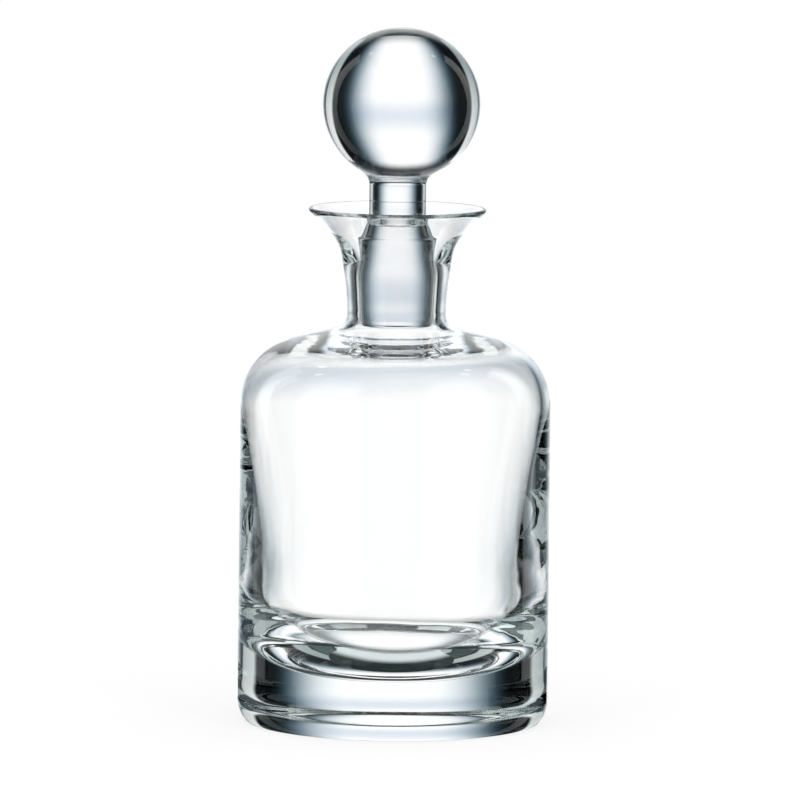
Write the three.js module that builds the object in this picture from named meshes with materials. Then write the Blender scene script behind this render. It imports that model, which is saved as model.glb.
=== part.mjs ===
// A whisky decanter in clear glass: a straight-sided bottle with a thick solid base, round
// shoulders, a short neck and a wide flared mouth, closed by a one-piece ball stopper.
// Millimetres and degrees, +Z up. The origin is the centre of the underside, on the surface
// that the bottle stands on. The bottle and the stopper are both turned about the Z axis.

import * as THREE from 'three';

// Body of the bottle, outside. The slope is that of the shoulder's top, down from level.
const BODY_RADIUS_AT_FOOT = 52.5;
const BODY_RADIUS_AT_SHOULDER = 52.2;
const BODY_HEIGHT_TO_SHOULDER = 107;
const SHOULDER_RADIUS = 22.3;
const SHOULDER_SLOPE = 15;

// Foot: how far inside the body the flat that it stands on ends, and how high its edge reaches
const FOOT_EDGE_INSET = 2.6;
const FOOT_EDGE_HEIGHT = 6.95;

// Neck and flared mouth, outside. The angles lean out from upright.
const NECK_RADIUS = 16.6;
const NECK_FILLET_RADIUS = 4.7;
const THROAT_RADIUS = 18.5;
const THROAT_ANGLE = 8;
const FLARE_RADIUS = 16;
const FLARE_ANGLE = 46;
const MOUTH_RADIUS = 29.85;
const MOUTH_HEIGHT_OVER_SHOULDER = 65.4;
const LIP_RADIUS = 0.8;

// Walls and cavity of the bottle. The floor is a shallow bowl that slopes down from its rim,
// where the base's thickness is measured, and has a small dish in its middle.
const BASE_THICKNESS = 23.05;
const WALL_AT_FOOT = 9.15;
const WALL_AT_SHOULDER = 2.1;
const WALL_OVER_SHOULDER = 3.15;
const SHOULDER_INSIDE_SLOPE = 10.2;
const NECK_INSIDE_FILLET_RADIUS = 10.6;
const BORE_TOP_BELOW_LIP = 14.9;
const FLOOR_CORNER_HEIGHT = 22.75;
const BOWL_RADIUS = 20.1;
const BOWL_RIM_SLOPE = 10.75;
const BOWL_DEPTH = 1.58;
const DISH_RADIUS = 6.1;
const DISH_DEPTH = 1.4;

// Stopper: a ground plug, a small shoulder up to the stem, and a ball pressed slightly flat
const PLUG_TOP_BELOW_LIP = 8.4;
const PLUG_LENGTH = 31.7;
const PLUG_TOP_RADIUS = 13.3;
const PLUG_BOTTOM_RADIUS = 12;
const PLUG_EDGE_RADIUS = 1.4;
const PLUG_EDGE_TURN = 70;
const PLUG_SHOULDER_HEIGHT = 7.4;
const PLUG_SHOULDER_SWEEP = 3;
const STEM_RADIUS = 9.55;
const STEM_LENGTH = 9.3;
const STEM_FILLET_RADIUS = 5;
const BALL_RADIUS = 26.4;
const BALL_HEIGHT = 51.6;

// Gap between the plug and the bore that it is ground to fit
const PLUG_CLEARANCE = 0.3;

// How strongly the smooth curves hold their end directions, as shares of the height or reach
// that each one covers
const NECK_CURVE_HOLD = 0.4;
const MOUTH_CURVE_HOLD = 0.4;
const WALL_CURVE_HOLD = 0.256;
const FOOT_LEVEL_HOLD = 0.135;
const FOOT_UPRIGHT_HOLD = 0.6;
const CORNER_UPRIGHT_HOLD = 0.6;
const CORNER_FLOOR_HOLD = 0.3;

// Facets round the axis, along a small, a middling and a large curve of the profile, and from
// the rim of the bowl to its middle
const AROUND = 48;
const SMALL_CURVE = 4;
const MIDDLE_CURVE = 7;
const LARGE_CURVE = 18;
const BOWL_STEPS = 10;

const radians = THREE.MathUtils.degToRad;
const degrees = THREE.MathUtils.radToDeg;

const lipHeight = BODY_HEIGHT_TO_SHOULDER + MOUTH_HEIGHT_OVER_SHOULDER;
const plugTopHeight = lipHeight - PLUG_TOP_BELOW_LIP;
const plugBottomHeight = plugTopHeight - PLUG_LENGTH;
const stemFootHeight = plugTopHeight + PLUG_SHOULDER_HEIGHT;

// A point of a profile: distance from the axis, and height
function at(radius, height) {
  return new THREE.Vector2(radius, height);
}

// The point on a circle at an angle counted up from straight outwards
function onCircle(centre, radius, angle) {
  return at(centre.x + radius * Math.cos(radians(angle)), centre.y + radius * Math.sin(radians(angle)));
}

// The point reached by going a distance in a direction that leans outwards from straight up
function along(point, distance, lean) {
  return at(point.x + distance * Math.sin(radians(lean)), point.y + distance * Math.cos(radians(lean)));
}

// An arc of a circle, as steps + 1 points
function arc(centre, radius, fromAngle, toAngle, steps) {
  const points = [];
  for (let i = 0; i <= steps; i += 1) {
    points.push(onCircle(centre, radius, fromAngle + ((toAngle - fromAngle) * i) / steps));
  }
  return points;
}

// A smooth curve between two points, each with the handle that sets its direction there
function bend(start, startHandle, endHandle, end, steps) {
  return new THREE.CubicBezierCurve(start, startHandle, endHandle, end).getPoints(steps);
}

// Joins stretches of a profile, leaving out a point that repeats the one before
function joined(...stretches) {
  const points = [];
  for (const point of stretches.flat()) {
    const last = points[points.length - 1];
    if (!last || last.distanceTo(point) > 1e-4) {
      points.push(point);
    }
  }
  return points;
}

// Turns a profile about the axis and stands it up along +Z
function turned(profile) {
  const geometry = new THREE.LatheGeometry(profile, AROUND);
  geometry.rotateX(Math.PI / 2);
  return geometry;
}

// The centre of the fillet between the sloping top of a shoulder and the upright neck wall
function neckFilletCentre(shoulderEnd, slope, wallRadius, filletRadius) {
  const outwards = radians(90 - slope);
  const centreRadius = wallRadius + filletRadius;
  const reach = (centreRadius - shoulderEnd.x) * Math.cos(outwards);
  return at(centreRadius, shoulderEnd.y + (filletRadius - reach) / Math.sin(outwards));
}

// The bore's radius at a height: that of the plug's cone there, and the clearance
function boreRadius(height) {
  const rise = (height - plugBottomHeight) / PLUG_LENGTH;
  return PLUG_BOTTOM_RADIUS + rise * (PLUG_TOP_RADIUS - PLUG_BOTTOM_RADIUS) + PLUG_CLEARANCE;
}

// The centre of the fillet that opens the bore into the body, for the bore's radius at its foot
function boreFillet(shoulderEnd, footRadius) {
  return neckFilletCentre(shoulderEnd, SHOULDER_INSIDE_SLOPE, footRadius, NECK_INSIDE_FILLET_RADIUS);
}

// Outside of the body, from the middle of the underside to the top of the shoulder
function bodyOutside() {
  const footStart = at(BODY_RADIUS_AT_FOOT - FOOT_EDGE_INSET, 0);
  const footEnd = at(BODY_RADIUS_AT_FOOT, FOOT_EDGE_HEIGHT);
  const shoulderCentre = at(BODY_RADIUS_AT_SHOULDER - SHOULDER_RADIUS, BODY_HEIGHT_TO_SHOULDER);
  return joined(
    [at(0, 0)],
    bend(
      footStart,
      along(footStart, FOOT_LEVEL_HOLD * FOOT_EDGE_INSET, 90),
      along(footEnd, -FOOT_UPRIGHT_HOLD * FOOT_EDGE_HEIGHT, 0),
      footEnd,
      SMALL_CURVE + 1,
    ),
    arc(shoulderCentre, SHOULDER_RADIUS, 0, 90 - SHOULDER_SLOPE, MIDDLE_CURVE + 1),
  );
}

// Outside of the neck and the mouth, from the fillet at the neck's root over the lip
function neckOutside(shoulderEnd, lipCentre) {
  const filletCentre = neckFilletCentre(shoulderEnd, SHOULDER_SLOPE, NECK_RADIUS, NECK_FILLET_RADIUS);
  const lipStart = onCircle(lipCentre, LIP_RADIUS, -FLARE_ANGLE);

  // The flare leans out along an arc from the throat, and then runs straight to the lip
  const arcReach = FLARE_RADIUS * (Math.cos(radians(THROAT_ANGLE)) - Math.cos(radians(FLARE_ANGLE)));
  const arcRise = FLARE_RADIUS * (Math.sin(radians(FLARE_ANGLE)) - Math.sin(radians(THROAT_ANGLE)));
  const straightRise = (lipStart.x - THROAT_RADIUS - arcReach) / Math.tan(radians(FLARE_ANGLE));
  const throat = at(THROAT_RADIUS, lipStart.y - straightRise - arcRise);
  const flareCentre = onCircle(throat, FLARE_RADIUS, -THROAT_ANGLE);

  const neckFoot = at(NECK_RADIUS, filletCentre.y);
  const hold = NECK_CURVE_HOLD * (throat.y - neckFoot.y);
  return joined(
    arc(filletCentre, NECK_FILLET_RADIUS, 270 - SHOULDER_SLOPE, 180, SMALL_CURVE),
    bend(neckFoot, along(neckFoot, hold, 0), along(throat, -hold, THROAT_ANGLE), throat, SMALL_CURVE),
    arc(flareCentre, FLARE_RADIUS, 180 - THROAT_ANGLE, 180 - FLARE_ANGLE, SMALL_CURVE + 1),
    arc(lipCentre, LIP_RADIUS, -FLARE_ANGLE, 180 - FLARE_ANGLE, SMALL_CURVE),
  );
}

// Inside of the mouth and the bore, from the lip down to the fillet that opens into the body.
// The fillet starts above the plug's end, so its place gives the bore's radius at its foot.
function neckInside(shoulderEnd, lipCentre) {
  const lipEnd = onCircle(lipCentre, LIP_RADIUS, 180 - FLARE_ANGLE);
  const boreTopHeight = lipHeight - BORE_TOP_BELOW_LIP;
  const boreTop = at(boreRadius(boreTopHeight), boreTopHeight);
  const boreFootRadius = boreRadius(boreFillet(shoulderEnd, boreRadius(plugBottomHeight)).y);
  const filletCentre = boreFillet(shoulderEnd, boreFootRadius);
  const lipHold = MOUTH_CURVE_HOLD * Math.hypot(lipEnd.x - boreTop.x, lipEnd.y - boreTop.y);
  const boreHold = MOUTH_CURVE_HOLD * BORE_TOP_BELOW_LIP;
  return joined(
    bend(
      lipEnd,
      along(lipEnd, -lipHold, FLARE_ANGLE),
      along(boreTop, boreHold, 0),
      boreTop,
      MIDDLE_CURVE,
    ),
    arc(filletCentre, NECK_INSIDE_FILLET_RADIUS, 180, 270 - SHOULDER_INSIDE_SLOPE, MIDDLE_CURVE),
  );
}

// The floor's bowl, from its rim to the middle: the rim's slope levels out towards the middle,
// and the dish falls away smoothly from its own edge
function bowl() {
  const rimFall = (BOWL_RADIUS / 2) * Math.tan(radians(BOWL_RIM_SLOPE));
  const points = [];
  for (let i = 0; i <= BOWL_STEPS; i += 1) {
    const radius = BOWL_RADIUS * (1 - i / BOWL_STEPS);
    const inwards = 1 - (radius / BOWL_RADIUS) ** 2;
    const dish = DISH_DEPTH * (1 - THREE.MathUtils.smoothstep(radius, 0, DISH_RADIUS));
    points.push(at(radius, BASE_THICKNESS - rimFall * inwards - BOWL_DEPTH * inwards ** 2 - dish));
  }
  return points;
}

// Inside of the body, from the top of the shoulder down to the middle of the floor
function bodyInside() {
  const insideRadius = SHOULDER_RADIUS - WALL_OVER_SHOULDER;
  const wallTop = at(BODY_RADIUS_AT_SHOULDER - WALL_AT_SHOULDER, BODY_HEIGHT_TO_SHOULDER);
  const wallFoot = at(BODY_RADIUS_AT_FOOT - WALL_AT_FOOT, BASE_THICKNESS + FLOOR_CORNER_HEIGHT);
  const shoulderCentre = at(wallTop.x - insideRadius, wallTop.y);
  const rim = at(BOWL_RADIUS, BASE_THICKNESS);
  const hold = WALL_CURVE_HOLD * (wallTop.y - wallFoot.y);
  return joined(
    arc(shoulderCentre, insideRadius, 90 - SHOULDER_INSIDE_SLOPE, 0, MIDDLE_CURVE),
    bend(wallTop, along(wallTop, -hold, 0), along(wallFoot, hold, 0), wallFoot, MIDDLE_CURVE),
    bend(
      wallFoot,
      along(wallFoot, -CORNER_UPRIGHT_HOLD * FLOOR_CORNER_HEIGHT, 0),
      along(rim, CORNER_FLOOR_HOLD * (wallFoot.x - rim.x), 90 - BOWL_RIM_SLOPE),
      rim,
      MIDDLE_CURVE + 1,
    ),
    bowl(),
  );
}

// The whole section of the bottle: up the outside, over the lip and down the inside
function bottleProfile() {
  const lipCentre = at(MOUTH_RADIUS - LIP_RADIUS, lipHeight);
  const outside = bodyOutside();
  const inside = bodyInside();
  return joined(
    outside,
    neckOutside(outside[outside.length - 1], lipCentre),
    neckInside(inside[0], lipCentre),
    inside,
  );
}

// The plug, from the middle of its flat end up its cone and over its shoulder to the stem
function plugProfile() {
  const lean = degrees(Math.atan2(PLUG_TOP_RADIUS - PLUG_BOTTOM_RADIUS, PLUG_LENGTH));
  const endCentre = at(PLUG_BOTTOM_RADIUS - PLUG_EDGE_RADIUS, plugBottomHeight + PLUG_EDGE_RADIUS);
  const topCentre = at(PLUG_TOP_RADIUS - PLUG_EDGE_RADIUS, plugTopHeight - PLUG_EDGE_RADIUS);
  const shoulderFoot = onCircle(topCentre, PLUG_EDGE_RADIUS, PLUG_EDGE_TURN);
  const stemFoot = at(STEM_RADIUS, stemFootHeight);
  return joined(
    [at(0, plugBottomHeight)],
    arc(endCentre, PLUG_EDGE_RADIUS, -90, -lean, SMALL_CURVE / 2),
    arc(topCentre, PLUG_EDGE_RADIUS, -lean, PLUG_EDGE_TURN, SMALL_CURVE),
    bend(
      shoulderFoot,
      along(shoulderFoot, PLUG_SHOULDER_SWEEP, PLUG_EDGE_TURN - 90),
      along(stemFoot, -PLUG_SHOULDER_SWEEP, 0),
      stemFoot,
      SMALL_CURVE,
    ),
  );
}

// The stem's top fillet and the ball, up to the crown. They are drawn round, with the ball's
// centre at the origin, then pressed flat and set on top of the stem.
function ballProfile() {
  const flatness = BALL_HEIGHT / (2 * BALL_RADIUS);
  const filletReach = STEM_RADIUS + STEM_FILLET_RADIUS;
  const drop = Math.sqrt((BALL_RADIUS + STEM_FILLET_RADIUS) ** 2 - filletReach ** 2);
  const touchAngle = degrees(Math.atan2(-drop, filletReach));
  const round = joined(
    arc(at(filletReach, -drop), STEM_FILLET_RADIUS, 180, 180 + touchAngle, SMALL_CURVE),
    arc(at(0, 0), BALL_RADIUS, touchAngle, 90, LARGE_CURVE),
  );
  const centreHeight = stemFootHeight + STEM_LENGTH + drop * flatness;
  return round.map((point) => at(Math.max(point.x, 0), centreHeight + point.y * flatness));
}

function makePiece(name, profile, material) {
  const piece = new THREE.Mesh(turned(profile), material);
  piece.name = name;
  return piece;
}

const bottleGlass = new THREE.MeshStandardMaterial({
  color: 0xe6eef0,
  roughness: 0.03,
  metalness: 0,
  transparent: true,
  opacity: 0.35,
});

const stopperGlass = new THREE.MeshStandardMaterial({
  color: 0xdde3e8,
  roughness: 0.08,
  metalness: 0,
  transparent: true,
  opacity: 0.45,
});

const decanter = new THREE.Group();
decanter.add(makePiece('bottle', bottleProfile(), bottleGlass));
decanter.add(makePiece('ball_stopper', joined(plugProfile(), ballProfile()), stopperGlass));

export default decanter;
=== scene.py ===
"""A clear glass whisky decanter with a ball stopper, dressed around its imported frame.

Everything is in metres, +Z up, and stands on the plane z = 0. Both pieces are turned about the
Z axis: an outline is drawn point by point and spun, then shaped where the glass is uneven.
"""

import logging
import math
from dataclasses import dataclass, field
from enum import Enum

import bpy
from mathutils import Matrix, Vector


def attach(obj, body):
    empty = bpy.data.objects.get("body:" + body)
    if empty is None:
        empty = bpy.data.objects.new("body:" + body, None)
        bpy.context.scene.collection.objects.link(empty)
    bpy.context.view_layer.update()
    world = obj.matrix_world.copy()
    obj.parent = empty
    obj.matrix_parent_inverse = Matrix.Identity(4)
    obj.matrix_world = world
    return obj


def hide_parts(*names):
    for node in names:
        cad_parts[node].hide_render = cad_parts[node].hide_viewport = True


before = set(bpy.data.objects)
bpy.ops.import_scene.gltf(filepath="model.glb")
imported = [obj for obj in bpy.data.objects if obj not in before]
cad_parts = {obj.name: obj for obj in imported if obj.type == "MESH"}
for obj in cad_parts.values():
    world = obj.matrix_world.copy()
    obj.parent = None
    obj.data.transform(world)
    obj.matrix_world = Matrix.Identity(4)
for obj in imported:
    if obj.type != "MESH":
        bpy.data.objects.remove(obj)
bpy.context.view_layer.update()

log = logging.getLogger("decanter")

Point = tuple[float, float]
Span = tuple[float, float]
Colour = tuple[float, float, float]

# Distance within which two points of an outline are one
SAME_POINT = 2e-6
# Distance within which a point lies on the axis
ON_AXIS = 1e-6
# How far a surface may lean to the wrong side and still be shaped with the wanted side
LEAN_LIMIT = -0.2


class Side(Enum):
    """Side of a turned piece, with the sign that its faces have along the way outwards."""

    OUTSIDE = 1.0
    INSIDE = -1.0


# Outlines


@dataclass
class Outline:
    """The section of a turned piece: points of distance from the axis and height."""

    points: list[Point] = field(default_factory=list)

    def to(self, radius: float, height: float) -> "Outline":
        """Adds a point, unless it repeats the last one.

        Args:
            radius: Distance from the axis.
            height: Height over the table.

        Returns:
            The outline itself, so that calls can be chained.
        """
        if not self.points or math.dist(self.points[-1], (radius, height)) > SAME_POINT:
            self.points.append((max(radius, 0.0), height))
        return self

    def line(self, radius: float, height: float, steps: int) -> "Outline":
        """Adds a straight stretch in equal steps.

        Args:
            radius: Distance from the axis at its end.
            height: Height at its end.
            steps: Number of steps.

        Returns:
            The outline itself.
        """
        start = self.points[-1]
        for step in range(1, steps + 1):
            share = step / steps
            self.to(start[0] + share * (radius - start[0]), start[1] + share * (height - start[1]))
        return self

    def arc(self, centre: Point, radius: float, start: float, end: float, steps: int) -> "Outline":
        """Adds an arc of a circle.

        Args:
            centre: The circle's centre.
            radius: The circle's radius.
            start: First angle in degrees, counted up from straight outwards.
            end: Last angle in degrees.
            steps: Number of steps.

        Returns:
            The outline itself.
        """
        for step in range(steps + 1):
            self.to(*on_circle(centre, radius, start + (end - start) * step / steps))
        return self

    def bend(self, start: Point, leave: Point, arrive: Point, end: Point, steps: int) -> "Outline":
        """Adds a smooth curve with a handle at each end.

        Args:
            start: First point.
            leave: Handle that sets the direction at the first point.
            arrive: Handle that sets the direction at the last point.
            end: Last point.
            steps: Number of steps.

        Returns:
            The outline itself.
        """
        for step in range(steps + 1):
            share = step / steps
            rest = 1.0 - share
            weights = (rest**3, 3 * rest**2 * share, 3 * rest * share**2, share**3)
            handles = (start, leave, arrive, end)
            self.to(
                sum(w * p[0] for w, p in zip(weights, handles)),
                sum(w * p[1] for w, p in zip(weights, handles)),
            )
        return self


def on_circle(centre: Point, radius: float, angle: float) -> Point:
    """Returns the point of a circle at an angle in degrees, counted up from straight outwards."""
    turn = math.radians(angle)
    return centre[0] + radius * math.cos(turn), centre[1] + radius * math.sin(turn)


def along(point: Point, distance: float, lean: float) -> Point:
    """Returns the point at a distance in a direction that leans outwards from straight up."""
    turn = math.radians(lean)
    return point[0] + distance * math.sin(turn), point[1] + distance * math.cos(turn)


def fillet_centre(shoulder_end: Point, slope: float, wall: float, radius: float) -> Point:
    """Places the fillet between a sloping shoulder and an upright neck.

    Args:
        shoulder_end: A point on the slope.
        slope: The slope, in degrees down from level.
        wall: Radius of the neck's wall.
        radius: Radius of the fillet.

    Returns:
        The fillet's centre.
    """
    outwards = math.radians(90.0 - slope)
    reach = (wall + radius - shoulder_end[0]) * math.cos(outwards)
    return wall + radius, shoulder_end[1] + (radius - reach) / math.sin(outwards)


def smooth_step(value: float, low: float, high: float) -> float:
    """Returns a share that rises smoothly from 0 at low to 1 at high."""
    share = min(max((value - low) / (high - low), 0.0), 1.0)
    return share * share * (3.0 - 2.0 * share)


# Modelling by operators


def take_up(piece: bpy.types.Object) -> None:
    """Makes a piece the only selected one and the active one.

    Args:
        piece: The piece.
    """
    bpy.ops.object.select_all(action="DESELECT")
    piece.select_set(True)
    bpy.context.view_layer.objects.active = piece


def nudge(
    piece: bpy.types.Object, wanted: set[int], amount: float, reach: float, connected: bool
) -> None:
    """Moves some vertices of the active piece along X, and those near them by less.

    Args:
        piece: The piece.
        wanted: The numbers of the vertices.
        amount: How far they are moved.
        reach: How far round them the move fades out.
        connected: Whether it fades along the surface and not straight through the piece.
    """
    bpy.ops.object.mode_set(mode="EDIT")
    bpy.ops.mesh.select_mode(type="VERT")
    bpy.ops.mesh.select_all(action="DESELECT")
    bpy.ops.object.mode_set(mode="OBJECT")
    for vertex in piece.data.vertices:
        vertex.select = vertex.index in wanted
    bpy.ops.object.mode_set(mode="EDIT")
    bpy.ops.transform.translate(
        value=(amount, 0.0, 0.0),
        use_proportional_edit=True,
        use_proportional_connected=connected,
        proportional_edit_falloff="SMOOTH",
        proportional_size=reach,
    )
    bpy.ops.object.mode_set(mode="OBJECT")


def drawn(name: str, points: list[Vector]) -> bpy.types.Object:
    """Draws a chain of edges, starting from a plane that is merged to its middle.

    Args:
        name: Name of the new piece.
        points: The points of the chain, in order.

    Returns:
        The new piece, in edit mode with its last point selected.
    """
    bpy.ops.object.select_all(action="DESELECT")
    bpy.ops.mesh.primitive_plane_add(size=0.001, location=(0.0, 0.0, 0.0))
    piece = bpy.context.object
    piece.name = name
    piece.data.name = name
    take_up(piece)
    bpy.ops.object.mode_set(mode="EDIT")
    bpy.ops.mesh.select_all(action="SELECT")
    bpy.ops.mesh.merge(type="CENTER")
    bpy.ops.transform.translate(value=points[0])
    for last, point in zip(points, points[1:]):
        bpy.ops.mesh.extrude_region_move(TRANSFORM_OT_translate={"value": point - last})
    return piece


def spun(name: str, points: list[Vector], angle: float, steps: int) -> bpy.types.Object:
    """Spins a drawn chain about the Z axis.

    Args:
        name: Name of the new piece.
        points: The points of the chain.
        angle: How far it is spun, in degrees.
        steps: Number of steps.

    Returns:
        The new piece, in object mode and shaded smooth.
    """
    piece = drawn(name, points)
    bpy.ops.mesh.select_all(action="SELECT")
    bpy.ops.mesh.spin(
        steps=steps, angle=math.radians(angle), center=(0.0, 0.0, 0.0), axis=(0.0, 0.0, 1.0)
    )
    bpy.ops.mesh.select_all(action="SELECT")
    bpy.ops.mesh.remove_doubles(threshold=ON_AXIS)
    bpy.ops.mesh.normals_make_consistent(inside=False)
    bpy.ops.object.mode_set(mode="OBJECT")
    bpy.ops.object.shade_smooth()
    return piece


def turned(name: str, outline: Outline, steps: int) -> bpy.types.Object:
    """Returns one closed piece: an outline, from the axis round to the axis, turned about Z."""
    return spun(name, [Vector((r, 0.0, z)) for r, z in outline.points], 360.0, steps)


@dataclass(frozen=True)
class Unevenness:
    """A waviness of one zone of a surface, pressed into the mesh.

    Attributes:
        name: Name of its vertex group and texture.
        low: Height where it starts.
        high: Height where it ends.
        fade: Height over which it grows from nothing at either end.
        inner: Least distance from the axis.
        outer: Greatest distance from the axis.
        wave: Size of its waves.
        depth: How far it moves the surface, from trough to crest.
    """

    name: str
    low: float
    high: float
    fade: float
    inner: float
    outer: float
    wave: float
    depth: float

    def share_at(self, vertex: bpy.types.MeshVertex, side: Side) -> float:
        """Finds how far a vertex is moved.

        Args:
            vertex: A vertex of the piece.
            side: The side whose faces are moved.

        Returns:
            A share of the depth, from 0 to 1.
        """
        radius = math.hypot(vertex.co.x, vertex.co.y)
        if not self.inner <= radius <= self.outer:
            return 0.0
        outwards = 0.0
        if radius > ON_AXIS:
            outwards = (vertex.co.x * vertex.normal.x + vertex.co.y * vertex.normal.y) / radius
        if outwards * side.value < LEAN_LIMIT:
            return 0.0
        share = smooth_step(vertex.co.z, self.low, self.low + self.fade)
        return share * (1.0 - smooth_step(vertex.co.z, self.high - self.fade, self.high))

    def press_into(self, piece: bpy.types.Object, side: Side) -> None:
        """Moves the surface of a piece by soft noise, on the faces of one side.

        Args:
            piece: The piece to shape.
            side: The side whose faces are moved.
        """
        group = piece.vertex_groups.new(name=self.name)
        for vertex in piece.data.vertices:
            share = self.share_at(vertex, side)
            if share > 0.0:
                group.add([vertex.index], share, "REPLACE")
        noise = bpy.data.textures.new(self.name, type="CLOUDS")
        noise.noise_scale = self.wave
        noise.noise_depth = 1
        take_up(piece)
        press = piece.modifiers.new(self.name, "DISPLACE")
        press.texture = noise
        press.texture_coords = "LOCAL"
        press.direction = "NORMAL"
        press.vertex_group = self.name
        press.mid_level = 0.5
        press.strength = self.depth
        bpy.ops.object.modifier_apply(modifier=press.name)


# Shader bench


class Wire:
    """An output socket of a shader node, with the arithmetic that the materials use."""

    def __init__(self, bench: "Bench", socket: bpy.types.NodeSocket) -> None:
        """Keeps the socket and the bench that its Math nodes are added to."""
        self.bench = bench
        self.socket = socket

    def __add__(self, other: "Wire | float") -> "Wire":
        """Returns the sum."""
        return self.bench.function("ADD", self, other)

    def __radd__(self, other: float) -> "Wire":
        """Returns the sum with a number on the left."""
        return self.bench.function("ADD", other, self)

    def __sub__(self, other: "Wire | float") -> "Wire":
        """Returns the difference."""
        return self.bench.function("SUBTRACT", self, other)

    def __rsub__(self, other: float) -> "Wire":
        """Returns a number less this value."""
        return self.bench.function("SUBTRACT", other, self)

    def __mul__(self, other: "Wire | float") -> "Wire":
        """Returns the product."""
        return self.bench.function("MULTIPLY", self, other)

    def __rmul__(self, other: float) -> "Wire":
        """Returns the product with a number on the left."""
        return self.bench.function("MULTIPLY", other, self)

    def __truediv__(self, other: "Wire | float") -> "Wire":
        """Returns the quotient."""
        return self.bench.function("DIVIDE", self, other)

    def __rtruediv__(self, other: float) -> "Wire":
        """Returns a number divided by this value."""
        return self.bench.function("DIVIDE", other, self)

    def __pow__(self, other: "Wire | float") -> "Wire":
        """Returns the power."""
        return self.bench.function("POWER", self, other)

    def __rpow__(self, other: float) -> "Wire":
        """Returns a number raised to this value."""
        return self.bench.function("POWER", other, self)


class PlacedNode:
    """A node on the bench, whose outputs are read by name or number."""

    def __init__(self, bench: "Bench", node: bpy.types.Node) -> None:
        """Keeps the node and its bench."""
        self.bench = bench
        self.node = node

    def __getitem__(self, output: str | int) -> Wire:
        """Returns one output as a wire."""
        return Wire(self.bench, self.node.outputs[output])


class Bench:
    """The node tree of one material or world."""

    def __init__(self, tree: bpy.types.NodeTree) -> None:
        """Clears the tree and keeps it."""
        self.tree = tree
        self.tree.nodes.clear()

    def add(
        self,
        kind: str,
        settings: dict[str, object] | None = None,
        inputs: dict[str | int, object] | None = None,
    ) -> PlacedNode:
        """Adds any node.

        Args:
            kind: The node's type.
            settings: Its settings, set first.
            inputs: A value or a wire for each socket, by name or number.

        Returns:
            The new node.
        """
        node = self.tree.nodes.new(kind)
        for key, value in (settings or {}).items():
            setattr(node, key, value)
        for key, value in (inputs or {}).items():
            if isinstance(value, Wire):
                self.tree.links.new(value.socket, node.inputs[key])
            else:
                node.inputs[key].default_value = value
        return PlacedNode(self, node)

    def function(self, operation: str, first: Wire | float, second: Wire | float = 0.0) -> Wire:
        """Returns a function of one or two values, by the name of its Math node's operation."""
        return self.add("ShaderNodeMath", {"operation": operation}, {0: first, 1: second})["Value"]

    def rise(self, value: Wire, low: float, high: float) -> Wire:
        """Returns a share that rises from 0 at low to 1 at high, smoothly."""
        return self.add(
            "ShaderNodeMapRange",
            {"interpolation_type": "SMOOTHSTEP"},
            {"Value": value, "From Min": low, "From Max": high, "To Min": 0.0, "To Max": 1.0},
        )["Result"]

    def band(self, value: Wire, start: Span, end: Span) -> Wire:
        """Returns a share that rises to 1 over one span and falls back to 0 over another."""
        return self.rise(value, *start) * (1.0 - self.rise(value, *end))

    def mixed(self, share: Wire, first: Colour, second: Colour) -> Wire:
        """Returns a colour between two colours. A Mix node's sockets for colours are 6 and 7."""
        inputs = {0: share, 6: (*first, 1.0), 7: (*second, 1.0)}
        return self.add("ShaderNodeMix", {"data_type": "RGBA"}, inputs)[2]

    def noise(self, place: Wire, scale: float, detail: float) -> Wire:
        """Returns soft noise between 0 and 1, in waves of 1 / scale metres."""
        return self.add(
            "ShaderNodeTexNoise", {}, {"Vector": place, "Scale": scale, "Detail": detail}
        )["Fac"]

    def bump(self, height: Wire, distance: float) -> Wire:
        """Returns a normal that is tilted by a height."""
        return self.add(
            "ShaderNodeBump", {}, {"Height": height, "Distance": distance, "Strength": 1.0}
        )["Normal"]

    def shine(self, colour: Wire | tuple[float, ...]) -> None:
        """Ends a material with light, whose strength is already in its colour."""
        glow = self.add("ShaderNodeEmission", {}, {"Color": colour, "Strength": 1.0})
        self.add("ShaderNodeOutputMaterial", {}, {"Surface": glow["Emission"]})


def new_bench(name: str) -> tuple[bpy.types.Material, Bench]:
    """Starts a material.

    Args:
        name: Its name.

    Returns:
        The new material and its bench, with nothing on it.
    """
    material = bpy.data.materials.new(name)
    material.use_nodes = True
    return material, Bench(material.node_tree)


# Finishes


@dataclass(frozen=True)
class Melt:
    """The clear glass that a piece is made of.

    Attributes:
        kept: Colour of the light that thick glass lets through.
        absorption: How strongly it absorbs the rest, per metre.
        refraction: Index of refraction.
    """

    kept: Colour
    absorption: float = 1.2
    refraction: float = 1.52

    def pour(self, bench: Bench, tint: Wire, roughness: Wire, normal: Wire) -> None:
        """Ends a material with this glass.

        Args:
            bench: The bench of the material.
            tint: Colour of the light that passes the surface.
            roughness: Roughness of the surface.
            normal: Normal of the surface.
        """
        surface = bench.add(
            "ShaderNodeBsdfPrincipled",
            {},
            {
                "Base Color": tint,
                "Roughness": roughness,
                "IOR": self.refraction,
                "Transmission Weight": 1.0,
                "Normal": normal,
            },
        )
        absorb = bench.add(
            "ShaderNodeVolumeAbsorption",
            {},
            {"Color": (*self.kept, 1.0), "Density": self.absorption},
        )
        bench.add(
            "ShaderNodeOutputMaterial",
            {},
            {"Surface": surface["BSDF"], "Volume": absorb["Volume"]},
        )


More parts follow.
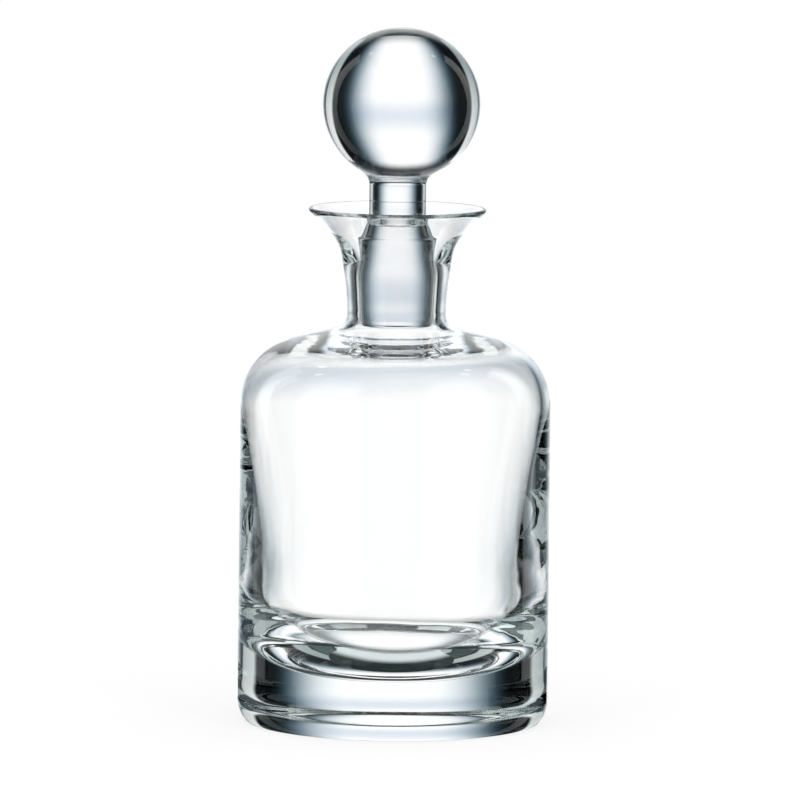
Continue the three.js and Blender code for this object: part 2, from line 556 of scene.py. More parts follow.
@dataclass(frozen=True)
class DecanterGlass:
    """Fire-polished clear glass, a little worn under the foot.

    Attributes:
        melt: The glass.
        tint_even: Colour of the light that passes the surface.
        tint_streak: The same where the melt was uneven.
        streaks: Streaks of the melt per metre.
        foot: Heights between which the wear of the foot ends.
        worn_start: Distances from the axis between which the worn ring starts.
        worn_end: Distances between which it ends.
        worn_roughness: Roughness of that ring.
        scratches: Scratches of the ring per metre.
        scratch_edge: Values of the noise between which a scratch starts.
        ripples: Soft ripples of the surface per metre.
        ripple_depth: How deep they are.
    """

    melt: Melt = Melt(kept=(0.80, 0.93, 0.92))
    tint_even: Colour = (1.0, 1.0, 1.0)
    tint_streak: Colour = (0.985, 0.995, 0.99)
    streaks: float = 45.0
    foot: Span = (0.0001, 0.0006)
    worn_start: Span = (0.0425, 0.0445)
    worn_end: Span = (0.0485, 0.0495)
    worn_roughness: float = 0.12
    scratches: float = 900.0
    scratch_edge: Span = (0.45, 0.65)
    ripples: float = 60.0
    ripple_depth: float = 0.00004

    def material(self) -> bpy.types.Material:
        """Makes the glass.

        Returns:
            The finished material.
        """
        material, bench = new_bench("clear_glass")
        place = bench.add("ShaderNodeTexCoord")["Object"]
        axes = bench.add("ShaderNodeSeparateXYZ", {}, {"Vector": place})
        x, y, z = axes["X"], axes["Y"], axes["Z"]
        tint = bench.mixed(
            bench.noise(place, self.streaks, detail=1.0), self.tint_even, self.tint_streak
        )

        under = 1.0 - bench.rise(z, *self.foot)
        ring = bench.band((x * x + y * y) ** 0.5, self.worn_start, self.worn_end)
        scratched = bench.rise(bench.noise(place, self.scratches, detail=3.0), *self.scratch_edge)
        roughness = under * ring * scratched * self.worn_roughness

        normal = bench.bump(bench.noise(place, self.ripples, detail=1.0), self.ripple_depth)
        self.melt.pour(bench, tint, roughness, normal)
        return material


@dataclass(frozen=True)
class StopperGlass:
    """Clear glass with a finely ground, satin plug.

    Attributes:
        ground_low: Height where the grinding starts.
        ground_high: Height where it ends.
        melt: The glass.
        tint_clear: Colour of the light that passes the clear surface.
        tint_ground: The same where it is ground.
        fade_in: Height over which the grinding starts.
        fade_out: Height over which it ends.
        ragged: Ragged places of the grinding's edges per metre.
        ragged_height: How high they are.
        ground_roughness: Roughness of the ground cone.
        grit: Grains of the grinding per metre.
        grit_roughness: How much the roughness differs from grain to grain.
        ripples: Soft ripples of the surface per metre.
        ripple_depth: How deep they are.
    """

    ground_low: float
    ground_high: float
    melt: Melt = Melt(kept=(0.86, 0.93, 0.98))
    tint_clear: Colour = (1.0, 1.0, 1.0)
    tint_ground: Colour = (0.96, 0.965, 0.98)
    fade_in: float = 0.0006
    fade_out: float = 0.0008
    ragged: float = 400.0
    ragged_height: float = 0.0006
    ground_roughness: float = 0.08
    grit: float = 2500.0
    grit_roughness: float = 0.06
    ripples: float = 70.0
    ripple_depth: float = 0.00003

    def material(self) -> bpy.types.Material:
        """Makes the glass.

        Returns:
            The finished material.
        """
        material, bench = new_bench("stopper_glass")
        place = bench.add("ShaderNodeTexCoord")["Object"]
        height = bench.add("ShaderNodeSeparateXYZ", {}, {"Vector": place})["Z"]
        height = height + (bench.noise(place, self.ragged, detail=2.0) - 0.5) * self.ragged_height
        start = (self.ground_low, self.ground_low + self.fade_in)
        end = (self.ground_high - self.fade_out, self.ground_high)
        ground = bench.band(height, start, end)
        tint = bench.mixed(ground, self.tint_clear, self.tint_ground)

        grain = (bench.noise(place, self.grit, detail=2.0) - 0.5) * self.grit_roughness
        roughness = ground * (self.ground_roughness + grain)

        normal = bench.bump(bench.noise(place, self.ripples, detail=1.0), self.ripple_depth)
        self.melt.pour(bench, tint, roughness, normal)
        return material


# The two pieces of the decanter


@dataclass
class BallStopper:
    """The one-piece stopper: a ground plug, a cone, a stem and a ball.

    Attributes:
        plug_bottom: Height of the plug's flat end.
        plug_length: Height of the ground plug.
        plug_bottom_radius: Radius of the plug at its end.
        plug_top_radius: Radius of the plug at its top.
        plug_edge: Radius of the plug's two rounded edges.
        clear_foot: Height of the plug's foot that isn't ground.
        plug_edge_turn: Angle at which the upper edge runs into the cone.
        cone_height: Height from the plug's top to the stem.
        cone_sweep: How strongly the cone's curve holds its end directions.
        stem_radius: Radius of the stem.
        stem_length: Height of the stem below its top fillet.
        stem_fillet: Radius of the fillet between the stem and the ball.
        ball_radius: Radius of the ball, across.
        ball_height: Height of the ball, which is pressed slightly flat.
        ball_lean: How far the ball sits to the right of the stem.
        around: Facets round the axis.
    """

    plug_bottom: float = 0.1323
    plug_length: float = 0.0317
    plug_bottom_radius: float = 0.012
    plug_top_radius: float = 0.0133
    plug_edge: float = 0.0014
    clear_foot: float = 0.0064
    plug_edge_turn: float = 70.0
    cone_height: float = 0.0074
    cone_sweep: float = 0.003
    stem_radius: float = 0.00955
    stem_length: float = 0.0093
    stem_fillet: float = 0.005
    ball_radius: float = 0.0264
    ball_height: float = 0.0516
    ball_lean: float = 0.001
    around: int = 192

    @property
    def plug_top(self) -> float:
        """Height of the plug's top."""
        return self.plug_bottom + self.plug_length

    @property
    def stem_foot(self) -> float:
        """Height where the stem starts."""
        return self.plug_top + self.cone_height

    def cone_radius(self, height: float) -> float:
        """Returns the radius of the plug's cone at a height, also past its ends."""
        rise = (height - self.plug_bottom) / self.plug_length
        return self.plug_bottom_radius + rise * (self.plug_top_radius - self.plug_bottom_radius)

    def outline(self) -> Outline:
        """Draws the section.

        Returns:
            The outline, from the middle of the plug's end to the crown of the ball.
        """
        lean = math.degrees(
            math.atan2(self.plug_top_radius - self.plug_bottom_radius, self.plug_length)
        )
        end_centre = (self.plug_bottom_radius - self.plug_edge, self.plug_bottom + self.plug_edge)
        top_centre = (self.plug_top_radius - self.plug_edge, self.plug_top - self.plug_edge)
        cone_start = on_circle(top_centre, self.plug_edge, self.plug_edge_turn)
        stem_start = (self.stem_radius, self.stem_foot)

        section = Outline().to(0.0, self.plug_bottom)
        section.line(end_centre[0], self.plug_bottom, steps=6)
        section.arc(end_centre, self.plug_edge, -90.0, -lean, steps=6)
        section.line(*on_circle(top_centre, self.plug_edge, -lean), steps=20)
        section.arc(top_centre, self.plug_edge, -lean, self.plug_edge_turn, steps=8)
        section.bend(
            cone_start,
            along(cone_start, self.cone_sweep, self.plug_edge_turn - 90.0),
            along(stem_start, -self.cone_sweep, 0.0),
            stem_start,
            steps=16,
        )

        flatness = self.ball_height / (2.0 * self.ball_radius)
        reach = self.stem_radius + self.stem_fillet
        drop = math.sqrt((self.ball_radius + self.stem_fillet) ** 2 - reach**2)
        touch = math.degrees(math.atan2(-drop, reach))
        centre = self.stem_foot + self.stem_length + drop * flatness
        section.line(self.stem_radius, centre - drop * flatness, steps=12)
        ball = Outline()
        ball.arc((reach, -drop), self.stem_fillet, 180.0, 180.0 + touch, steps=10)
        ball.arc((0.0, 0.0), self.ball_radius, touch, 90.0, steps=80)
        for radius, height in ball.points:
            section.to(radius, centre + height * flatness)
        return section

    def lean_ball(self, piece: bpy.types.Object) -> None:
        """Moves the ball a little to the right, as far as the stem allows.

        Args:
            piece: The stopper.
        """
        crown = max(vertex.co.z for vertex in piece.data.vertices)
        low = crown - self.ball_height / 2.0 - self.ball_height / 4.0
        ball = {vertex.index for vertex in piece.data.vertices if vertex.co.z > low}
        nudge(piece, ball, self.ball_lean, reach=0.02, connected=False)

    def build(self) -> bpy.types.Object:
        """Builds, dresses and places the stopper.

        Returns:
            The finished piece, riding on the stopper's body.
        """
        piece = turned("clear_ball_stopper", self.outline(), self.around)
        Unevenness(
            "shear_marks",
            low=self.stem_foot - 0.003,
            high=self.stem_foot + 0.0015,
            fade=0.0015,
            inner=0.008,
            outer=0.014,
            wave=0.0022,
            depth=0.0001,
        ).press_into(piece, Side.OUTSIDE)
        self.lean_ball(piece)
        finish = StopperGlass(
            ground_low=self.plug_bottom + self.clear_foot,
            ground_high=self.plug_top - self.plug_edge,
        )
        piece.data.materials.append(finish.material())
        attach(piece, "stopper")
        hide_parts("ball_stopper")
        return piece


@dataclass
class Bottle:
    """The bottle: a thick base, straight sides, round shoulders, a neck and a flared mouth.

    Attributes:
        foot_radius: Radius of the body over the foot.
        shoulder_radius: Radius of the body under the shoulder.
        shoulder_height: Height where the shoulder starts.
        foot_flat: Radius of the flat that the bottle stands on.
        foot_rise: Height over which the foot's edge curves out to the side.
        foot_hold_out: How strongly that curve holds the level at its start.
        foot_hold_up: How strongly it holds the upright at its end.
        shoulder_curve: Radius of the shoulder's curve.
        shoulder_slope: Slope of the shoulder's top, down from level.
        neck_radius: Radius of the neck at its root.
        neck_fillet: Radius of the fillet at the neck's root.
        neck_hold: How strongly the neck holds its end directions, as a share of its height.
        throat_radius: Radius where the neck starts to flare.
        throat_angle: Lean of the neck there.
        flare_curve: Radius of the flare's curve.
        flare_angle: Lean of the mouth at the lip.
        mouth_radius: Radius of the mouth, over the lip.
        lip_height: Height of the middle of the lip.
        lip_radius: Radius of the rounded lip.
        wall_at_foot: Wall over the floor's corner.
        wall_at_shoulder: Wall under the shoulder.
        wall_over_shoulder: Wall in the shoulder's curve.
        wall_least: Less than any wall of the body, to tell its inside from its outside.
        inside_slope: Slope of the shoulder's inside.
        inside_fillet: Radius of the fillet from the bore into the body.
        bore_top_below_lip: How far the bore's top lies below the lip.
        lip_hold: How strongly the mouth's inside holds the flare's direction.
        bore_hold: How strongly it holds the upright over the bore.
        clearance: Gap between the plug and the bore.
        wall_hold: How strongly the wall's inside holds its end directions.
        corner_top: Height where the wall starts to curve into the floor.
        corner_hold_up: How strongly that curve holds the wall's direction.
        corner_hold_in: How strongly it holds the floor's direction.
        bowl_radius: Radius of the wide, shallow bowl of the floor.
        bowl_rim: Height of the bowl's rim.
        bowl_middle: Height of its middle.
        bowl_steepness: How late and how steeply the bowl rises towards its rim.
        cavity_shift: How far the cavity lies to the left of the axis.
        around: Facets round the axis.
    """

    foot_radius: float = 0.0525
    shoulder_radius: float = 0.0522
    shoulder_height: float = 0.107
    foot_flat: float = 0.0499
    foot_rise: float = 0.00695
    foot_hold_out: float = 0.00035
    foot_hold_up: float = 0.0042
    shoulder_curve: float = 0.0223
    shoulder_slope: float = 15.0
    neck_radius: float = 0.0166
    neck_fillet: float = 0.0047
    neck_hold: float = 0.4
    throat_radius: float = 0.0185
    throat_angle: float = 8.0
    flare_curve: float = 0.016
    flare_angle: float = 46.0
    mouth_radius: float = 0.02985
    lip_height: float = 0.1724
    lip_radius: float = 0.0008
    wall_at_foot: float = 0.00915
    wall_at_shoulder: float = 0.0021
    wall_over_shoulder: float = 0.00315
    wall_least: float = 0.0015
    inside_slope: float = 10.2
    inside_fillet: float = 0.0106
    bore_top_below_lip: float = 0.030
    lip_hold: float = 0.012
    bore_hold: float = 0.017
    clearance: float = 0.0003
    wall_hold: float = 0.0157
    corner_top: float = 0.0458
    corner_hold_up: float = 0.0137
    corner_hold_in: float = 0.0060
    bowl_radius: float = 0.028
    bowl_rim: float = 0.0196
    bowl_middle: float = 0.0159
    bowl_steepness: float = 3.5
    cavity_shift: float = 0.0009
    around: int = 192

    def outside(self, section: Outline) -> None:
        """Draws the outside, from the middle of the underside to the lip.

        Args:
            section: The outline that is drawn on.
        """
        foot_start = (self.foot_flat, 0.0)
        foot_end = (self.foot_radius, self.foot_rise)
        shoulder_centre = (self.shoulder_radius - self.shoulder_curve, self.shoulder_height)
        slope = self.shoulder_slope
        section.to(0.0, 0.0)
        section.line(*foot_start, steps=12)
        section.bend(
            foot_start,
            along(foot_start, self.foot_hold_out, 90.0),
            along(foot_end, -self.foot_hold_up, 0.0),
            foot_end,
            steps=20,
        )
        section.line(self.shoulder_radius, self.shoulder_height, steps=16)
        section.arc(shoulder_centre, self.shoulder_curve, 0.0, 90.0 - slope, steps=24)

        fillet = fillet_centre(section.points[-1], slope, self.neck_radius, self.neck_fillet)
        section.line(*on_circle(fillet, self.neck_fillet, 270.0 - slope), steps=6)
        section.arc(fillet, self.neck_fillet, 270.0 - slope, 180.0, steps=10)

        lip = (self.mouth_radius - self.lip_radius, self.lip_height)
        lip_start = on_circle(lip, self.lip_radius, -self.flare_angle)
        near, far = math.radians(self.throat_angle), math.radians(self.flare_angle)
        reach = self.flare_curve * (math.cos(near) - math.cos(far))
        rise = self.flare_curve * (math.sin(far) - math.sin(near))
        straight = (lip_start[0] - self.throat_radius - reach) / math.tan(far)
        throat = (self.throat_radius, lip_start[1] - straight - rise)
        flare = on_circle(throat, self.flare_curve, -self.throat_angle)
        foot = (self.neck_radius, fillet[1])
        hold = self.neck_hold * (throat[1] - foot[1])
        section.bend(
            foot, along(foot, hold, 0.0), along(throat, -hold, self.throat_angle), throat, steps=24
        )
        section.arc(
            flare, self.flare_curve, 180.0 - self.throat_angle, 180.0 - self.flare_angle, steps=24
        )
        section.line(*lip_start, steps=4)
        section.arc(lip, self.lip_radius, -self.flare_angle, 180.0 - self.flare_angle, steps=12)

    def inside(self, section: Outline, plug: BallStopper) -> None:
        """Draws the inside, from the lip down to the foot of the wall.

        Args:
            section: The outline that is drawn on.
            plug: The stopper that the bore is ground for.
        """
        lip_end = section.points[-1]
        bore_top_height = self.lip_height - self.bore_top_below_lip
        bore_top = (plug.cone_radius(bore_top_height) + self.clearance, bore_top_height)
        section.bend(
            lip_end,
            along(lip_end, -self.lip_hold, self.flare_angle),
            along(bore_top, self.bore_hold, 0.0),
            bore_top,
            steps=36,
        )

        slope = self.inside_slope
        inner_curve = self.shoulder_curve - self.wall_over_shoulder
        wall_top = (self.shoulder_radius - self.wall_at_shoulder, self.shoulder_height)
        shoulder_centre = (wall_top[0] - inner_curve, wall_top[1])
        shoulder_end = on_circle(shoulder_centre, inner_curve, 90.0 - slope)
        near_foot = plug.cone_radius(plug.plug_bottom + self.inside_fillet / 2.0) + self.clearance
        near = fillet_centre(shoulder_end, slope, near_foot, self.inside_fillet)
        bore_foot = plug.cone_radius(near[1]) + self.clearance
        fillet = fillet_centre(shoulder_end, slope, bore_foot, self.inside_fillet)
        section.line(bore_foot, fillet[1], steps=20)
        section.arc(fillet, self.inside_fillet, 180.0, 270.0 - slope, steps=20)
        section.line(*shoulder_end, steps=10)
        section.arc(shoulder_centre, inner_curve, 90.0 - slope, 0.0, steps=24)

        wall_foot = (self.foot_radius - self.wall_at_foot, self.corner_top)
        section.bend(
            wall_top,
            along(wall_top, -self.wall_hold, 0.0),
            along(wall_foot, self.wall_hold, 0.0),
            wall_foot,
            steps=56,
        )

    def floor(self, section: Outline) -> None:
        """Draws the cavity's floor, from the foot of the wall to its middle.

        Args:
            section: The outline that is drawn on.
        """
        wall_foot = section.points[-1]
        rim = (self.bowl_radius, self.bowl_rim)
        rise = self.bowl_rim - self.bowl_middle
        rim_slope = math.degrees(math.atan(self.bowl_steepness * rise / self.bowl_radius))
        section.bend(
            wall_foot,
            along(wall_foot, -self.corner_hold_up, 0.0),
            along(rim, self.corner_hold_in, 90.0 - rim_slope),
            rim,
            steps=40,
        )
        steps = 40
        for step in range(1, steps + 1):
            share = 1.0 - step / steps
            height = self.bowl_middle + rise * share**self.bowl_steepness
            section.to(self.bowl_radius * share, height)

    def shift_cavity(self, piece: bpy.types.Object) -> None:
        """Moves the cavity a little to the left, because blown walls are never even all round.

        Args:
            piece: The bottle.
        """
        cavity = {
            vertex.index
            for vertex in piece.data.vertices
            if self.corner_top < vertex.co.z < self.shoulder_height
            and math.hypot(vertex.co.x, vertex.co.y) < self.shoulder_radius - self.wall_least
        }
        nudge(piece, cavity, -self.cavity_shift, reach=0.03, connected=True)

    def build(self, plug: BallStopper) -> bpy.types.Object:
        """Builds, dresses and places the bottle.

        Args:
            plug: The stopper that the bore is ground for.

        Returns:
            The finished piece, riding on the bottle's body.
        """
        section = Outline()
        self.outside(section)
        self.inside(section, plug)
        self.floor(section)
        piece = turned("clear_bottle", section, self.around)
        for name, high, wave, depth in (
            ("wall_waves", 0.074, 0.012, 0.00013),
            ("wall_crinkles", 0.070, 0.0035, 0.00003),
        ):
            Unevenness(
                name,
                low=self.bowl_rim + 0.003,
                high=high,
                fade=0.02,
                inner=0.030,
                outer=self.foot_radius - self.wall_least,
                wave=wave,
                depth=depth,
            ).press_into(piece, Side.INSIDE)
        Unevenness(
            "tool_marks",
            low=0.122,
            high=0.1345,
            fade=0.003,
            inner=0.0115,
            outer=0.024,
            wave=0.003,
            depth=0.00006,
        ).press_into(piece, Side.INSIDE)
        self.shift_cavity(piece)
        piece.data.materials.append(DecanterGlass().material())
        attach(piece, "bottle")
        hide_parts("bottle")
        return piece


# Studio

WHITE = (1.0, 1.0, 1.0, 1.0)
BLACK = (0.001, 0.001, 0.0012, 1.0)
SHEET_DISTANCE = 4.0
TENT_DISTANCE = 4.2


def directions(bench: Bench) -> tuple[Wire, Wire]:
    """Finds where a point of a sheet lies, as seen from the middle of the glass.

    Args:
        bench: The bench of the sheet's material.

    Returns:
        How far round it lies from the sheet's first upright edge, and how far up, in degrees.
    """
    place = bench.add("ShaderNodeTexCoord")["Object"]
    axes = bench.add("ShaderNodeSeparateXYZ", {}, {"Vector": place})
    turn = bench.function("ARCTAN2", axes["X"], axes["Y"]) * (180.0 / math.pi)
    lift = bench.function("ARCSINE", axes["Z"] / SHEET_DISTANCE) * (180.0 / math.pi)
    return turn, lift


@dataclass(frozen=True)
class Sheet:
    """A sheet that is part of a sphere round the middle of the glass, here a plain black one.

    Attributes:
        name: Its name.
        azimuths: First and last direction, in degrees to the right of straight behind.
        elevations: Lowest and highest direction, in degrees above level.
    """

    name: str
    azimuths: Span
    elevations: Span

    def light(self, bench: Bench) -> Wire | tuple[float, ...]:
        """Returns the colour of its light. Each lit kind of sheet has its own."""
        return BLACK

    def material(self) -> bpy.types.Material:
        """Makes the sheet's material.

        Returns:
            The finished material.
        """
        material, bench = new_bench(self.name)
        bench.shine(self.light(bench))
        return material


@dataclass(frozen=True)
class SideSheet(Sheet):
    """A sheet that is lit from low to high.

    Attributes:
        low: Its light at its lower edge.
        high: Its light at its upper edge.
        edge: How far in its light falls off at the upright edges, in degrees.
    """

    low: Colour
    high: Colour
    edge: float = 5.0

    def light(self, bench: Bench) -> Wire:
        """Lights the sheet.

        Args:
            bench: The bench of its material.

        Returns:
            The colour of its light.
        """
        width = self.azimuths[1] - self.azimuths[0]
        turn, lift = directions(bench)
        colour = bench.mixed(bench.rise(lift, *self.elevations), self.low, self.high)
        share = bench.band(turn, (0.0, self.edge), (width - self.edge, width))
        return bench.add(
            "ShaderNodeVectorMath", {"operation": "SCALE"}, {0: colour, "Scale": share}
        )["Vector"]


@dataclass(frozen=True)
class Ground(Sheet):
    """The ground far under the glass, dark behind it and lit in front of it.

    Attributes:
        fade: Where it grows light, as a share of its distance, counted towards the camera.
        behind: Its light behind the glass.
        front: Its light in front of the glass.
    """

    name: str = "ground"
    azimuths: Span = (-180.0, 180.0)
    elevations: Span = (-90.0, -55.0)
    fade: Span = (-0.10, 0.16)
    behind: Colour = (0.02, 0.03, 0.03)
    front: Colour = (0.76, 0.82, 0.84)

    def light(self, bench: Bench) -> Wire:
        """Lights the ground. It is spun from the front, so its own Y is towards the camera.

        Args:
            bench: The bench of its material.

        Returns:
            The colour of its light.
        """
        place = bench.add("ShaderNodeTexCoord")["Object"]
        towards = bench.add("ShaderNodeSeparateXYZ", {}, {"Vector": place})["Y"] / SHEET_DISTANCE
        return bench.mixed(bench.rise(towards, *self.fade), self.behind, self.front)


@dataclass(frozen=True)
class WhiteSheet(Sheet):
    """The white sheet behind the glass, lit from behind.

    Its light falls off to both sides, soonest in the red, is a little dimmer in a level band,
    and fades at its head and its foot.

    Attributes:
        brightest: Direction where it is brightest.
        lean: How far that direction moves to the left for each degree above level.
        strength: How bright it is there.
        spread: How far its red, green and blue reach to the sides, in degrees.
        steepness: How steeply they fall there.
        band: How much red, green and blue the level band takes away.
        band_low: Elevations between which the band starts.
        band_high: Elevations between which it ends.
        head: Elevations between which the sheet's head grows dim.
        head_share: Share of light that the head loses.
        foot: How far below level the sheet's foot starts and ends to grow dim.
        foot_share: Share of light that the foot loses.
    """

    name: str = "white_sheet"
    azimuths: Span = (-40.0, 46.0)
    elevations: Span = (-55.0, 52.0)
    brightest: float = 1.2
    lean: float = 0.15
    strength: float = 1.18
    spread: Colour = (23.1, 24.0, 24.6)
    steepness: Colour = (4.0, 4.0, 4.1)
    band: Colour = (0.29, 0.24, 0.18)
    band_low: Span = (-8.0, 3.0)
    band_high: Span = (3.0, 16.0)
    head: Span = (33.0, 45.0)
    head_share: float = 0.95
    foot: Span = (40.0, 55.0)
    foot_share: float = 0.5

    def light(self, bench: Bench) -> Wire:
        """Lights the sheet.

        Args:
            bench: The bench of its material.

        Returns:
            The colour of its light.
        """
        turn, lift = directions(bench)
        turn = turn + bench.function("MAXIMUM", lift) * self.lean
        aside = bench.function("ABSOLUTE", turn + (self.azimuths[0] - self.brightest))
        level = bench.band(lift, self.band_low, self.band_high)
        shade = self.strength * (1.0 - bench.rise(lift * -1.0, *self.foot) * self.foot_share)
        shade = shade * (1.0 - bench.rise(lift, *self.head) * self.head_share)

        channels = {}
        falls = zip(("Red", "Green", "Blue"), self.spread, self.steepness, self.band)
        for name, spread, steepness, taken in falls:
            fall = bench.function("EXPONENT", (aside / spread) ** steepness * -1.0)
            channels[name] = fall * shade * (1.0 - level * taken)
        return bench.add("ShaderNodeCombineColor", {}, channels)["Color"]


TENT = Sheet("black_tent", (-180.0, 180.0), (-90.0, 90.0))
SIDE_SHEETS = (
    SideSheet("side_sheet_right", (50.0, 72.0), (-55.0, 45.0), (0.44, 0.50, 0.50), (1.20, 1.24, 1.22)),
    SideSheet("side_sheet_left", (-74.0, -51.0), (-55.0, 45.0), (0.33, 0.40, 0.41), (1.10, 1.16, 1.15)),
    SideSheet("dim_sheet_right", (70.0, 100.0), (-55.0, 45.0), (0.05, 0.07, 0.07), (0.12, 0.14, 0.14)),
    SideSheet("dim_sheet_left", (-102.0, -71.0), (-55.0, 45.0), (0.08, 0.11, 0.11), (0.16, 0.20, 0.20)),
    SideSheet("front_sheet_right", (96.0, 152.0), (-55.0, 55.0), (0.42, 0.48, 0.49), (0.42, 0.46, 0.47)),
    SideSheet("front_sheet_left", (-152.0, -98.0), (-55.0, 55.0), (0.42, 0.50, 0.51), (0.66, 0.72, 0.73)),
    SideSheet("front_sheet_middle", (150.0, 210.0), (-55.0, 40.0), (0.10, 0.13, 0.15), (0.04, 0.05, 0.06)),
    SideSheet("small_lamp_right", (65.0, 75.0), (55.5, 59.5), (4.0, 4.1, 4.2), (4.0, 4.1, 4.2)),
    SideSheet("small_lamp_left", (-69.0, -59.0), (55.0, 59.0), (4.0, 4.1, 4.2), (4.0, 4.1, 4.2)),
)
LOW_CARDS = (("low_card_right", (60.0, 130.0)), ("low_card_left", (-130.0, -58.0)))


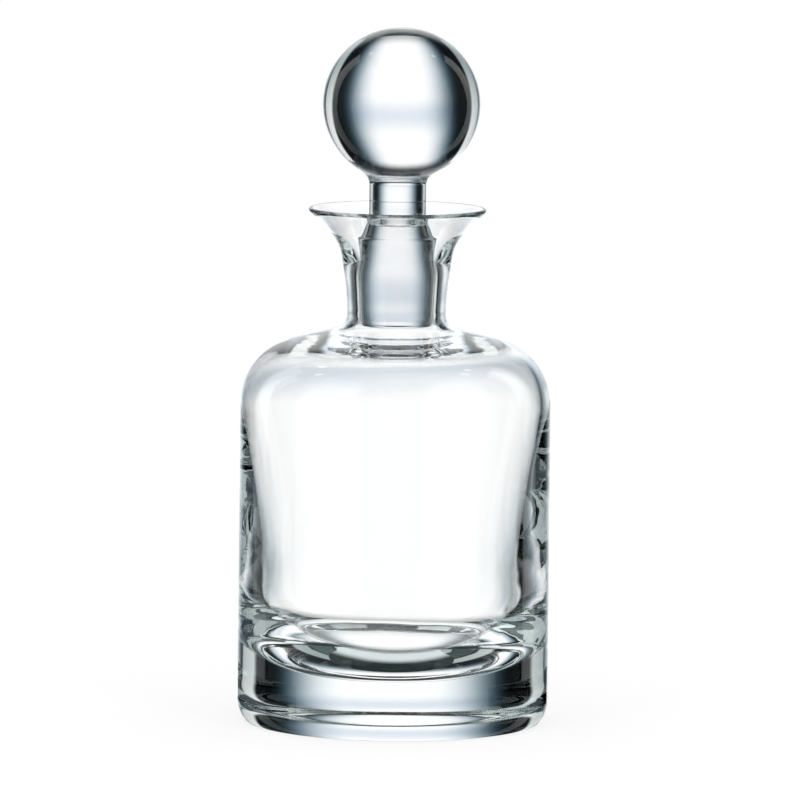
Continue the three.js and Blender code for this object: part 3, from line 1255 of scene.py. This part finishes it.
@dataclass
class Studio:
    """The floor, the soft light, the camera, and the sheets and cards that the glass shows.

    The sheets and cards hang on the camera's arm, as in a studio where they are carried round
    with it, so the glass stands before the white sheet from every side.

    Attributes:
        distance: Distance of the camera in front of the axis.
        height: Height of the camera.
        aside: How far the camera stands to the right of the axis.
        pitch: How far it looks down, in degrees.
        roll: How far it is turned about its view, in degrees.
        lens: Its focal length in millimetres.
        sight: How far it sees.
        floor_size: Width of the pale floor.
        floor_drop: How far the floor lies under the foot.
        floor_glow: Share of its own white that the camera sees on the floor.
        middle: Height of the middle of the glass, which the sheets hang round.
        turn_step: Facets of the sheets round the glass, in degrees.
        lift_step: Facets of the sheets up and down, in degrees.
        low_card_distance: Distance of the two low black cards beside the foot from the axis.
        low_card_height: Their height.
        lamp_aside: How far the two soft lamps stand to either side.
        lamp_front: How far they stand in front.
        lamp_height: How high they hang.
        lamp_power: Their power in watts.
        lamp_size: Their width.
        bounces: How often light passes or meets glass before it is given up.
        mirror_bounces: How often it is reflected before that.
    """

    distance: float = 2.5
    height: float = 0.3826
    aside: float = 0.0015
    pitch: float = 6.261
    roll: float = 0.62
    lens: float = 336.5
    sight: float = 60.0
    floor_size: float = 60.0
    floor_drop: float = 0.0001
    floor_glow: float = 0.8
    middle: float = 0.117
    turn_step: float = 2.0
    lift_step: float = 3.0
    low_card_distance: float = 0.075
    low_card_height: float = 0.013
    lamp_aside: float = 1.2
    lamp_front: float = 1.6
    lamp_height: float = 1.6
    lamp_power: float = 6.0
    lamp_size: float = 0.5
    bounces: int = 32
    mirror_bounces: int = 24

    def camera(self) -> None:
        """Adds the camera at the viewing angle of the reference picture."""
        bpy.ops.object.camera_add(
            location=(self.aside, -self.distance, self.height),
            rotation=(math.radians(90.0 - self.pitch), 0.0, 0.0),
        )
        camera = bpy.context.object
        camera.rotation_euler.rotate_axis("Z", math.radians(self.roll))
        camera.data.lens = self.lens
        camera.data.sensor_width = 36.0
        camera.data.clip_end = self.sight
        bpy.context.scene.camera = camera
        bpy.context.view_layer.update()

    def floor(self) -> None:
        """Lays the pale floor, which looks white and keeps a soft shadow."""
        bpy.ops.mesh.primitive_plane_add(
            size=self.floor_size, location=(0.0, 0.0, -self.floor_drop)
        )
        floor = bpy.context.object
        floor.name = "pale_floor"
        floor.visible_glossy = False
        floor.visible_transmission = False
        material, bench = new_bench("pale_floor")
        seen = bench.add("ShaderNodeLightPath")["Is Camera Ray"]
        matt = bench.add("ShaderNodeBsdfDiffuse", {}, {"Color": WHITE})
        glow = bench.add("ShaderNodeEmission", {}, {"Color": WHITE, "Strength": 1.0})
        mix = bench.add(
            "ShaderNodeMixShader",
            {},
            {0: seen * self.floor_glow, 1: matt["BSDF"], 2: glow["Emission"]},
        )
        bench.add("ShaderNodeOutputMaterial", {}, {"Surface": mix["Shader"]})
        floor.data.materials.append(material)

    def world(self) -> None:
        """Sets the soft white light that comes from all round."""
        world = bpy.data.worlds.new("soft_white")
        world.use_nodes = True
        bench = Bench(world.node_tree)
        background = bench.add("ShaderNodeBackground", {}, {"Color": WHITE, "Strength": 1.0})
        bench.add("ShaderNodeOutputWorld", {}, {"Surface": background["Background"]})
        bpy.context.scene.world = world

    def hang(
        self,
        name: str,
        azimuths: Span,
        points: list[Vector],
        foot: float,
        light: bpy.types.Material,
    ) -> None:
        """Spins a section into a curved card, which hangs round the glass on the camera's arm.

        The card only shows in the glass.

        Args:
            name: Its name.
            azimuths: First and last direction, in degrees to the right of straight behind.
            points: Its section, drawn straight behind the glass.
            foot: Height that the section is drawn from.
            light: Its material.
        """
        width = azimuths[1] - azimuths[0]
        card = spun(name, points, width, max(2, round(width / self.turn_step)))
        card.rotation_euler = (0.0, 0.0, -math.radians(azimuths[0]))
        card.location = (0.0, 0.0, foot)
        bpy.context.view_layer.update()
        camera = bpy.context.scene.camera
        card.parent = camera
        card.matrix_parent_inverse = camera.matrix_world.inverted()
        card.visible_camera = False
        card.visible_diffuse = False
        card.visible_shadow = False
        card.visible_volume_scatter = False
        card.data.materials.append(light)

    def hang_sheet(self, sheet: Sheet, far: float) -> bpy.types.Material:
        """Hangs a sheet round the middle of the glass.

        Args:
            sheet: The sheet.
            far: Its distance.

        Returns:
            Its material.
        """
        low, high = sheet.elevations
        steps = max(2, round((high - low) / self.lift_step))
        points = []
        for step in range(steps + 1):
            lift = math.radians(low + (high - low) * step / steps)
            points.append(Vector((0.0, math.cos(lift), math.sin(lift))) * far)
        material = sheet.material()
        self.hang(sheet.name, sheet.azimuths, points, self.middle, material)
        return material

    def hang_cards(self) -> None:
        """Hangs the black tent, the ground, the white sheet, the side sheets and the low cards."""
        black = self.hang_sheet(TENT, TENT_DISTANCE)
        for sheet in (Ground(), WhiteSheet(), *SIDE_SHEETS):
            self.hang_sheet(sheet, SHEET_DISTANCE)
        foot = Vector((0.0, self.low_card_distance, 0.0))
        head = Vector((0.0, self.low_card_distance, self.low_card_height))
        for name, azimuths in LOW_CARDS:
            self.hang(name, azimuths, [foot, head], 0.0, black)

    def lamps(self) -> None:
        """Adds two soft lamps in front, high up on either side, for the floor's shadow."""
        for name, side in (("lamp_left", -1.0), ("lamp_right", 1.0)):
            place = (self.lamp_aside * side, -self.lamp_front, self.lamp_height)
            bpy.ops.object.light_add(type="AREA", location=place)
            lamp = bpy.context.object
            lamp.name = name
            lamp.data.energy = self.lamp_power
            lamp.data.size = self.lamp_size
            aim = Vector((0.0, 0.0, self.middle)) - lamp.location
            lamp.rotation_euler = aim.to_track_quat("-Z", "Y").to_euler()
            lamp.visible_glossy = False
            lamp.visible_transmission = False

    def build(self) -> None:
        """Sets up the camera, the floor, the light and the cards."""
        self.camera()
        self.floor()
        self.world()
        self.hang_cards()
        self.lamps()
        scene = bpy.context.scene
        scene.view_settings.view_transform = "Standard"
        scene.cycles.max_bounces = self.bounces
        scene.cycles.transmission_bounces = self.bounces
        scene.cycles.glossy_bounces = self.mirror_bounces


def main() -> None:
    """Builds the studio and the two pieces, and reports each."""
    logging.basicConfig(level=logging.INFO, format="%(message)s")
    Studio().build()
    stopper = BallStopper()
    for piece in (stopper.build(), Bottle().build(stopper)):
        log.info("%s: %d faces", piece.name, len(piece.data.polygons))


if __name__ == "__main__":
    main()
